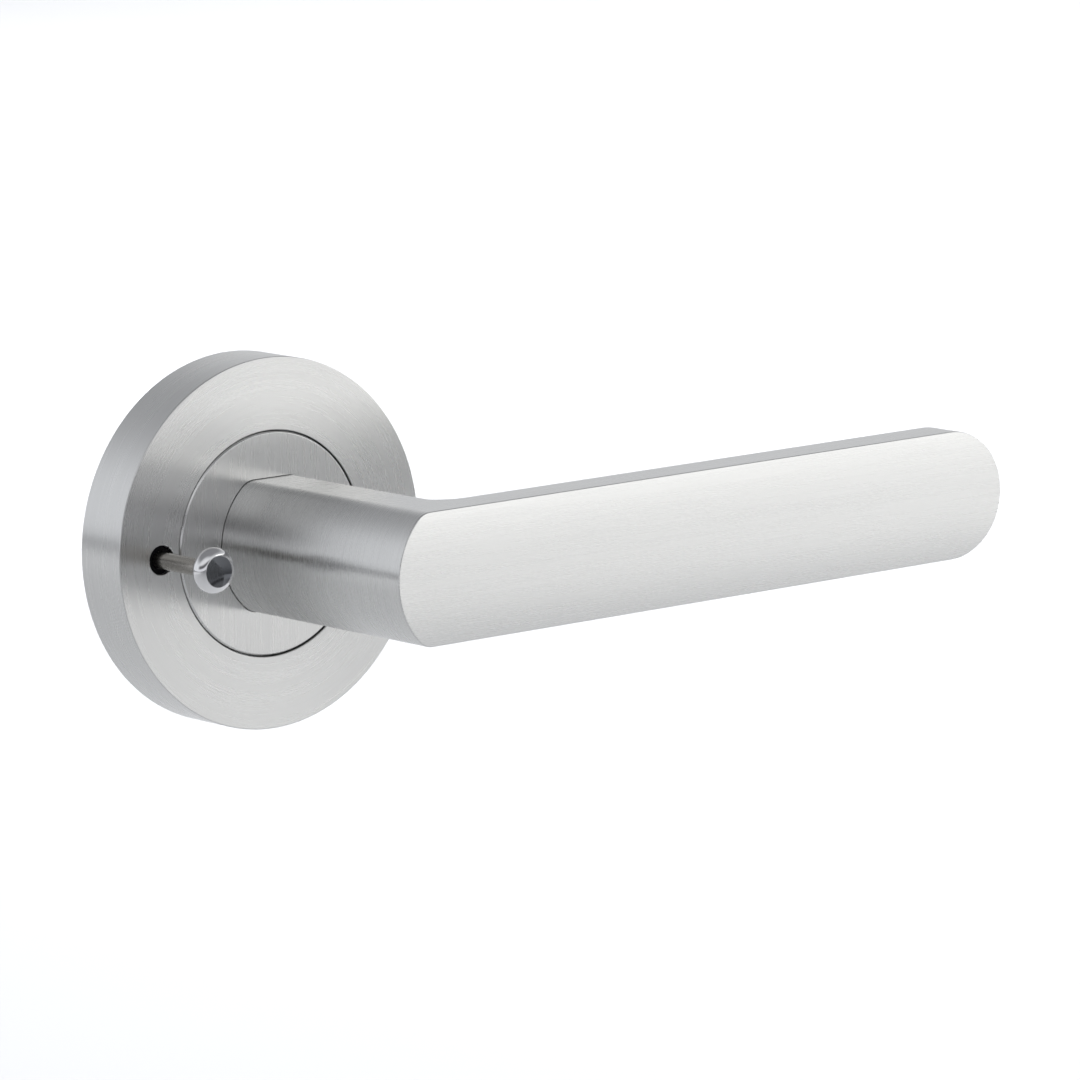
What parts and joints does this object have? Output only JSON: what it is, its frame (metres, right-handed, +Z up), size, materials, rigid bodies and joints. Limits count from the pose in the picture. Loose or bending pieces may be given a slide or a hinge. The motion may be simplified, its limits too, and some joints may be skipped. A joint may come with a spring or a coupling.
{
  "type": "door lever handle",
  "caption": "Lever door handle on a round rose, with a flat straight blade, a spring-returned spindle drive and a push-in privacy button.",
  "frame": {"origin": "where the spindle's axis crosses the door's face, midway between the two fixing posts", "axes": "+X along the lever, away from the spindle; -Y out of the door towards the user, so +Y points into the door along the spindle; +Z up"},
  "size_m": [0.159, 0.09, 0.065],
  "materials": {
    "rose_satin": "satin, turned rings",
    "disc_satin": "satin, straight brushing",
    "lever_satin": "satin, brushed along the blade",
    "pin_satin": "satin",
    "knob_polished": "polished",
    "plate_zinc": "zinc-plated",
    "post_steel": "plain bright steel",
    "spring_steel": "plain spring steel",
    "dark_steel": "blackened",
    "cam_steel": "yellow-passivated",
    "rivet_brass": "plain",
    "black_plastic": "matt",
    "bush_nylon": "natural nylon"
  },
  "bodies": {
    "rose": {"rose_cover": "rose_satin", "mounting_plate": "plate_zinc", "cover_snap_ring": "spring_steel", "fixing_post_upper": "post_steel", "fixing_post_lower": "post_steel", "bearing_bush": "bush_nylon", "return_spring": "spring_steel", "retainer_plate": "plate_zinc", "retainer_rivets": "rivet_brass", "pin_housing": "black_plastic", "pin_bush": "black_plastic"},
    "lever": {"lever": "lever_satin", "collar_disc": "disc_satin", "spring_cam": "cam_steel", "thrust_washer": "plate_zinc", "circlip": "spring_steel", "spindle": "post_steel", "grub_screw": "dark_steel"},
    "pin": {"privacy_pin": "pin_satin", "privacy_knob": "knob_polished", "pin_e_clip": "spring_steel", "pin_return_spring": "spring_steel"}
  },
  "joints": [
    {"name": "lever_turn", "type": "hinge", "parent": "rose", "child": "lever", "pos_m": [0, 0, 0], "axis": [0, 1, 0], "range_deg": [-45, 45], "stiffness_Nm_per_rad": 1.6, "springref_deg": -3.78, "deforming": ["return_spring"]},
    {"name": "pin_push", "type": "slide", "parent": "rose", "child": "pin", "axis": [0, 1, 0], "range_m": [0, 0.006], "stiffness_N_per_m": 300, "springref_m": -0.004, "deforming": ["pin_return_spring"]}
  ]
}
